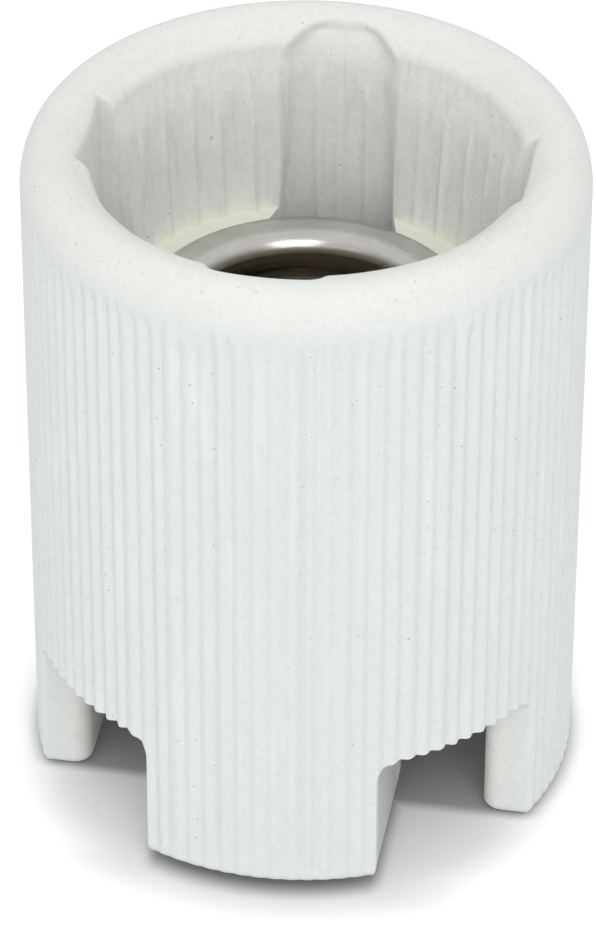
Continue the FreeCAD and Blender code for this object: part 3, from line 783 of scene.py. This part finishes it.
# %% [markdown]
# ## A finish, and the nodes it is made of
# A finish is one material round one Principled shader. Its methods add the few patterns that
# fired clay and plated metal need: noise, a smooth step, round specks, a mix of two colours and
# a bump. All of them read Object coordinates, so a pattern stays with its piece at every pose.

# %% Finishes
class Finish:
    """A material with one Principled shader, to which nodes are added."""

    def __init__(self, name):
        self.material = bpy.data.materials.new(name)
        self.material.use_nodes = True
        self.tree = self.material.node_tree
        self.tree.nodes.clear()
        self.shader = self.tree.nodes.new("ShaderNodeBsdfPrincipled")
        surface = self.tree.nodes.new("ShaderNodeOutputMaterial")
        self.tree.links.new(self.shader.outputs[0], surface.inputs["Surface"])

    def join(self, value, socket):
        """A value is linked to the socket, and a plain number or colour is written in it."""
        if isinstance(value, Value):
            self.tree.links.new(value.output, socket)
        else:
            socket.default_value = value

    def node(self, kind, settings=None, inputs=None, output=0):
        """A new node of any type, with its settings first and its sockets next."""
        made = self.tree.nodes.new(kind)
        for name, setting in (settings or {}).items():
            setattr(made, name, setting)
        for name, value in (inputs or {}).items():
            self.join(value, made.inputs[name])
        return Value(self, made.outputs[output])

    def position(self):
        """A point of the piece in metres, from Object coordinates."""
        return self.node("ShaderNodeTexCoord", output="Object")

    def moved(self, **settings):
        """The position through a Mapping node, which moves or stretches a pattern."""
        return self.node("ShaderNodeMapping", {}, {"Vector": self.position(), **settings})

    def axis(self, name):
        """One coordinate of the position."""
        return self.node("ShaderNodeSeparateXYZ", {}, {0: self.position()}).other(name)

    def noise(self, scale, detail=3.0, rough=0.5, stretch=(1, 1, 1), offset=(0, 0, 0)):
        """Cloudy noise from 0 to 1, with about scale cells in a metre."""
        at = self.moved(Scale=stretch, Location=offset)
        return self.node("ShaderNodeTexNoise", {},
                         {"Vector": at, "Scale": scale, "Detail": detail, "Roughness": rough})

    def between(self, value, low, high):
        """0 at low and 1 at high, with a smooth step between, and flat outside them."""
        return self.node("ShaderNodeMapRange", {"interpolation_type": "SMOOTHSTEP"},
                         {"Value": value, "From Min": low, "From Max": high})

    def specks(self, per_metre, radius, share, offset):
        """Round specks: a speck sits at the middle of some of the cells of a Voronoi pattern.
        The radius in metres is a middle one, since a speck is 0.4 to 1.2 times as large, and
        share is the part of the cells that hold a speck."""
        cell = self.node("ShaderNodeTexVoronoi", {},
                         {"Vector": self.moved(Location=offset), "Scale": per_metre}, "Distance")
        chance_of = self.node("ShaderNodeSeparateColor", {}, {0: cell.other("Color")})
        size = chance_of.other(1) * 0.8 + 0.4
        chosen = self.between(chance_of, 1.0 - share, 1.0 - share + 0.002)
        edge = radius * per_metre
        return self.between(cell / size, edge, edge * 0.45) * chosen

    def mix(self, share, first, second):
        """The first colour at share 0 and the second at share 1."""
        return self.node("ShaderNodeMix", {"data_type": "RGBA", "clamp_result": True},
                         {0: share, 6: first, 7: second}).other(2)

    def bump(self, height, distance, strength):
        """A normal tilted by the slope of a height, whose full step is the distance in metres."""
        return self.node("ShaderNodeBump", {},
                         {"Height": height, "Distance": distance, "Strength": strength})

    def set(self, **sockets):
        """Values for sockets of the shader, with _ for a space in a socket's name."""
        for name, value in sockets.items():
            self.join(value, self.shader.inputs[name.replace("_", " ")])

    def fed(self, name):
        """The value that feeds a socket of the shader so far."""
        return Value(self, self.shader.inputs[name].links[0].from_socket)


def paint(piece, finish):
    """The piece wears this finish in each of its material slots."""
    if not piece.data.materials:
        piece.data.materials.append(finish.material)
    for i in range(len(piece.data.materials)):
        piece.data.materials[i] = finish.material


print("finishes ready")

# %% [markdown]
# ## Zones and patterns of the porcelain
# The clay fires to a cool white with a thin satin skin. Near by it isn't even: faint clouds,
# a fine grain, small pits, and dark and brown grains of iron that were in the clay. The punch
# leaves faint upright smudges on the cup's wall. The flanks of the middle block, deep in the
# windows, get painted shade. A zone is a smooth step in a radius or a level, given in metres.

# %% Porcelain masks
porcelain = Finish("fired_porcelain")
clouds = porcelain.noise(scale=420, detail=4.0, rough=0.6)
blotches = porcelain.noise(scale=1500, detail=3.0, rough=0.6, offset=(0.3, 0.1, 0))
mottle = porcelain.noise(scale=4200, detail=3.0, rough=0.65, offset=(0.1, 0.4, 0))
grain = porcelain.noise(scale=9000, detail=2.0, rough=0.6)
streaks = porcelain.noise(scale=1300, detail=2.0, rough=0.5, stretch=(1, 1, 0.12))
smudges = porcelain.noise(scale=2400, detail=3.0, rough=0.6, stretch=(1, 1, 0.10), offset=(0.2, 0.3, 0))
dark_specks = porcelain.specks(per_metre=820, radius=0.00008, share=0.34, offset=(0.011, 0.003, 0.007))
fine_specks = porcelain.specks(per_metre=1900, radius=0.00006, share=0.42, offset=(0.002, 0.013, 0.001))
brown_specks = porcelain.specks(per_metre=560, radius=0.00009, share=0.22, offset=(0.006, 0.001, 0.017))
pits = porcelain.specks(per_metre=1000, radius=0.00010, share=0.40, offset=(0.004, 0.009, 0.002))

height = porcelain.axis("Z")
x, y = porcelain.axis("X"), porcelain.axis("Y")
radius = (x * x + y * y) ** 0.5
outside = porcelain.between(radius, 0.0126, 0.0136) * porcelain.between(height, 0.0352, 0.0334)
cup_wall = porcelain.between(radius, 0.0114, 0.0106) * porcelain.between(height, 0.0360, 0.0345)
beside_block = porcelain.between(x * x, 0.0063 ** 2, 0.0060 ** 2)
beside_foot = porcelain.between(y * y, 0.0058 ** 2, 0.0062 ** 2)
under_ceiling = porcelain.between(height, 0.0082, 0.0076) * porcelain.between(radius, 0.0137, 0.0132)
# the mask of the painted shade on the block's flanks, under the window's ceiling
flank = beside_block * beside_foot * under_ceiling
at_ledge = porcelain.between(height, 0.0267, 0.0262) * porcelain.between(height, 0.0255, 0.0260)
bare = at_ledge * porcelain.between(radius, 0.0106, 0.0101)
print("porcelain nodes for the masks:", len(porcelain.tree.nodes))

# %% [markdown]
# ## The porcelain's colour and relief
# The colour starts as the rim's white, and each coat is laid over the ones before it where its
# mask says. The cup's wall gets painted light, a lighter white than the rim's. The ledge inside
# keeps the colour of the bare clay, which is creamier. The coats stay pale and close to each
# other. The grain goes to Bump, since it is too small for geometry.

# %% Porcelain
RIM_WHITE = (0.865, 0.881, 0.847, 1)
RELIEF = 0.00005
coats = [
    ("cool ribs", outside, (0.800, 0.850, 0.838, 1)),
    # painted light: the cup's wall gets a lighter white than the rim
    ("painted light on cup wall", cup_wall, (0.890, 0.905, 0.870, 1)),
    ("clouds", porcelain.between(clouds, 0.40, 0.65) * 0.5, (0.835, 0.848, 0.815, 1)),
    ("blotches", porcelain.between(blotches, 0.45, 0.75) * 0.30, (0.755, 0.785, 0.765, 1)),
    ("mottle", porcelain.between(mottle, 0.42, 0.68) * 0.36, (0.740, 0.765, 0.745, 1)),
    ("streaks", porcelain.between(streaks, 0.50, 0.80) * outside * 0.5, (0.90, 0.92, 0.91, 1)),
    ("smudges", porcelain.between(smudges, 0.48, 0.74) * cup_wall * 0.45, (0.66, 0.68, 0.65, 1)),
    # painted shade: a grey coat on the block's flanks deep in the windows
    ("painted shade on flanks", flank * 0.7, (0.50, 0.51, 0.49, 1)),
    ("bare clay", bare * 0.9, (0.90, 0.895, 0.790, 1)),
    ("dark specks", dark_specks * 0.55, (0.30, 0.30, 0.29, 1)),
    ("fine specks", fine_specks * 0.7, (0.38, 0.37, 0.35, 1)),
    ("brown specks", brown_specks * 0.40, (0.50, 0.40, 0.30, 1)),
]
colour = RIM_WHITE
for _, share, coat in coats:
    colour = porcelain.mix(share, colour, coat)
relief = grain * 0.15 + mottle * 0.35 + blotches * 1.1 + clouds * 0.6 - pits * 0.8 - dark_specks * 0.4
porcelain.set(Base_Color=colour, Roughness=0.46 + mottle * 0.16,
              Normal=porcelain.bump(relief, RELIEF, 0.8))
paint(porcelain_body, porcelain)
print("porcelain coats:", [name for name, _, _ in coats])

# %% [markdown]
# ## The metals
# Four finishes stay metal from edge to edge: their colour is the metal's reflection, and what
# tells them apart is that colour and the roughness. A fine grain stands for the marks of rolling
# and turning, and cloudy patches for the plating.

# %% Metals
def metal(name, colour, dull, rough, grain_scale, relief):
    """A metal whose colour drifts to the dull one in patches, with a fine grain in its relief."""
    finish = Finish(name)
    patches = finish.noise(scale=420, detail=4.0, rough=0.6)
    grain = finish.noise(scale=grain_scale, detail=3.0, rough=0.6)
    shade = finish.mix(finish.between(patches, 0.35, 0.75) * 0.6, colour, dull)
    finish.set(Base_Color=shade, Metallic=1.0, Roughness=rough + patches * 0.10 + grain * 0.08,
               Normal=finish.bump(grain, relief, 0.6))
    return finish


nickel = metal("nickel_plated_sheet", colour=(0.68, 0.67, 0.64, 1), dull=(0.56, 0.54, 0.51, 1),
               rough=0.13, grain_scale=9000, relief=0.000008)
brass = metal("plain_brass", colour=(0.72, 0.56, 0.27, 1), dull=(0.52, 0.38, 0.19, 1),
              rough=0.24, grain_scale=7000, relief=0.000006)
bronze = metal("spring_bronze", colour=(0.64, 0.43, 0.24, 1), dull=(0.44, 0.29, 0.17, 1),
               rough=0.26, grain_scale=6000, relief=0.000006)
zinc = metal("zinc_plated_steel", colour=(0.62, 0.63, 0.66, 1), dull=(0.46, 0.47, 0.50, 1),
             rough=0.28, grain_scale=5000, relief=0.000008)
print("metals:", [finish.material.name for finish in (nickel, brass, bronze, zinc)])

# %% [markdown]
# ## What each metal piece wears
# The sheet of the shell isn't alike all over: its rolled edge is bright, the flange beside it is
# satin, and the bore gets painted shade, a dull dark brown. Both changes are zones, laid over what the
# metal has.

# %% Paint the metal pieces
BORE_PAINTED_SHADE = (0.23, 0.205, 0.155, 1)
FLANGE_ROUGHNESS = 0.16

across, along = nickel.axis("X"), nickel.axis("Y")
from_axis = (across * across + along * along) ** 0.5
# painted shade: the bore deep inside the shell is darkened to a dull brown
bore_painted_shade = nickel.between(from_axis, 0.00675, 0.00640) * nickel.between(nickel.axis("Z"), 0.0262, 0.0255)
flange = nickel.between(from_axis, 0.00725, 0.00745)
nickel.set(Base_Color=nickel.mix(bore_painted_shade, nickel.fed("Base Color"), BORE_PAINTED_SHADE),
           Roughness=nickel.fed("Roughness") + flange * FLANGE_ROUGHNESS)
paint(screw_shell, nickel)
paint(sprung_leaf, bronze)
wearing = {
    "shell_fixing_screw": brass, "contact_fixing_screw": brass, "contact_button": brass,
    "shell_terminal_plate": brass, "contact_terminal_plate": brass,
    "shell_lock_washer": zinc, "shell_clamp_washer": zinc, "contact_clamp_washer": zinc,
    "shell_terminal_screw": zinc, "contact_terminal_screw": zinc,
}
for node, finish in wearing.items():
    paint(frame["nodes"][node], finish)
print("metal pieces:", len(wearing) + 2)

# %% [markdown]
# ## The floor
# The picture is taken on white. The floor is a pale sheet that takes the shadow, and a little
# light of its own, seen by the camera alone, lifts it to white where nothing shades it. Under
# the body and close in front of it the lift fades away, and a painted shadow makes the paper grey
# between the feet, because the real shadow there is deeper than soft light from all round can make it.

# %% Floor
HALF_FLOOR = 4.0
PAPER = (0.88, 0.88, 0.88, 1)
PAINTED_SHADOW_PAPER = (0.42, 0.42, 0.42, 1)
LIFT = (0.34, 0.34, 0.34, 1)
LEAST_LIFT = 0.1

sheet = bpy.data.meshes.new("studio_floor")
sheet.from_pydata([(-HALF_FLOOR, -HALF_FLOOR, 0), (HALF_FLOOR, -HALF_FLOOR, 0),
                   (HALF_FLOOR, HALF_FLOOR, 0), (-HALF_FLOOR, HALF_FLOOR, 0)], [], [(0, 1, 2, 3)])
floor = bpy.data.objects.new("studio_floor", sheet)
bpy.context.scene.collection.objects.link(floor)
paper = Finish("white_paper")
seen = paper.node("ShaderNodeLightPath", output="Is Camera Ray")
x, y = paper.axis("X"), paper.axis("Y")
from_axis = (x * x + y * y) ** 0.5
# painted shadow: the paper turns grey between the feet under the body
between_feet = paper.between((x * x).smaller(y * y) ** 0.5, 0.0064, 0.0054)
under = between_feet * paper.between(from_axis, 0.0148, 0.0132)
paper_with_painted_shadow = paper.mix(under, PAPER, PAINTED_SHADOW_PAPER)
ahead = (x * x + (y + 0.0005) * (y + 0.0005)) ** 0.5
ahead = ahead - paper.between(y, -0.0110, -0.0138) * 0.0011
clear = (paper.between(ahead, 0.0126, 0.0164) * (1.0 - LEAST_LIFT) + LEAST_LIFT) * (1.0 - under)
lift = paper.mix(seen * clear, (0, 0, 0, 1), LIFT)
paper.set(Base_Color=paper_with_painted_shadow, Roughness=1.0, Emission_Color=lift, Emission_Strength=1.0,
          Specular_IOR_Level=0.0)
paint(floor, paper)
print("floor size, m:", 2 * HALF_FLOOR)

# %% [markdown]
# ## World and lamps
# A white world lights every side about evenly. A large lamp above the camera gives the soft
# shadow its direction, and a weak one in front fills the side that the camera sees. Together
# they light a surface that faces them at about one, so a colour shows as it is written.

# %% World and lamps
WORLD_STRENGTH = 0.76

world = bpy.data.worlds.new("studio")
bpy.context.scene.world = world
world.use_nodes = True
background = world.node_tree.nodes["Background"]
background.inputs["Color"].default_value = (1, 1, 1, 1)
background.inputs["Strength"].default_value = WORLD_STRENGTH


def softbox(name, place_at, aim, size, share):
    """An area lamp that adds the share to a surface facing it: power = share * pi^2 * distance^2."""
    lamp = bpy.data.lights.new(name, "AREA")
    lamp.size = size
    beam = Vector(aim) - Vector(place_at)
    lamp.energy = share * pi ** 2 * beam.length ** 2
    box = bpy.data.objects.new(name, lamp)
    box.location = place_at
    box.rotation_euler = beam.to_track_quat("-Z", "Y").to_euler()
    bpy.context.scene.collection.objects.link(box)
    return box


boxes = [softbox("front", place_at=(-0.25, -0.60, 0.30), aim=(0, 0, 0.02), size=0.40, share=0.06),
         softbox("above_camera", place_at=(0.16, -0.44, 0.50), aim=(0, 0, 0.03), size=0.34, share=0.23)]
print("world strength:", WORLD_STRENGTH, "lamps:", [box.name for box in boxes])

# %% [markdown]
# ## The camera
# The camera stands well above the rim and a little to the right of the middle block, and looks
# down into the cup. Its lens is long, so that uprights stay nearly parallel, and it is turned
# about its own axis by a small roll.

# %% Camera
AZIMUTH = radians(9.75)
ELEVATION = radians(36.30)
CAMERA_ROLL = radians(0.176)
DISTANCE = 0.2643
LENS = 196.91
AIM_HEIGHT = 0.01605
AIM_LEFT = 0.000358

back = Vector((sin(AZIMUTH) * cos(ELEVATION), -cos(AZIMUTH) * cos(ELEVATION), sin(ELEVATION)))
right = Vector((cos(AZIMUTH), sin(AZIMUTH), 0))
target = Vector((0, 0, AIM_HEIGHT)) - right * AIM_LEFT
camera_data = bpy.data.cameras.new("camera")
camera_data.sensor_width = 36
camera_data.lens = LENS
camera_data.clip_start, camera_data.clip_end = 0.01, 20
camera = bpy.data.objects.new("camera", camera_data)
upright = (-back).to_track_quat("-Z", "Y").to_matrix().to_4x4()
stand = Matrix.Translation(target + back * DISTANCE)
camera.matrix_world = stand @ upright @ Matrix.Rotation(CAMERA_ROLL, 4, "Z")
bpy.context.scene.collection.objects.link(camera)
bpy.context.scene.camera = camera
bpy.context.scene.view_settings.view_transform = "Standard"
print("camera at, mm:", [round(v / mm, 1) for v in camera.location])
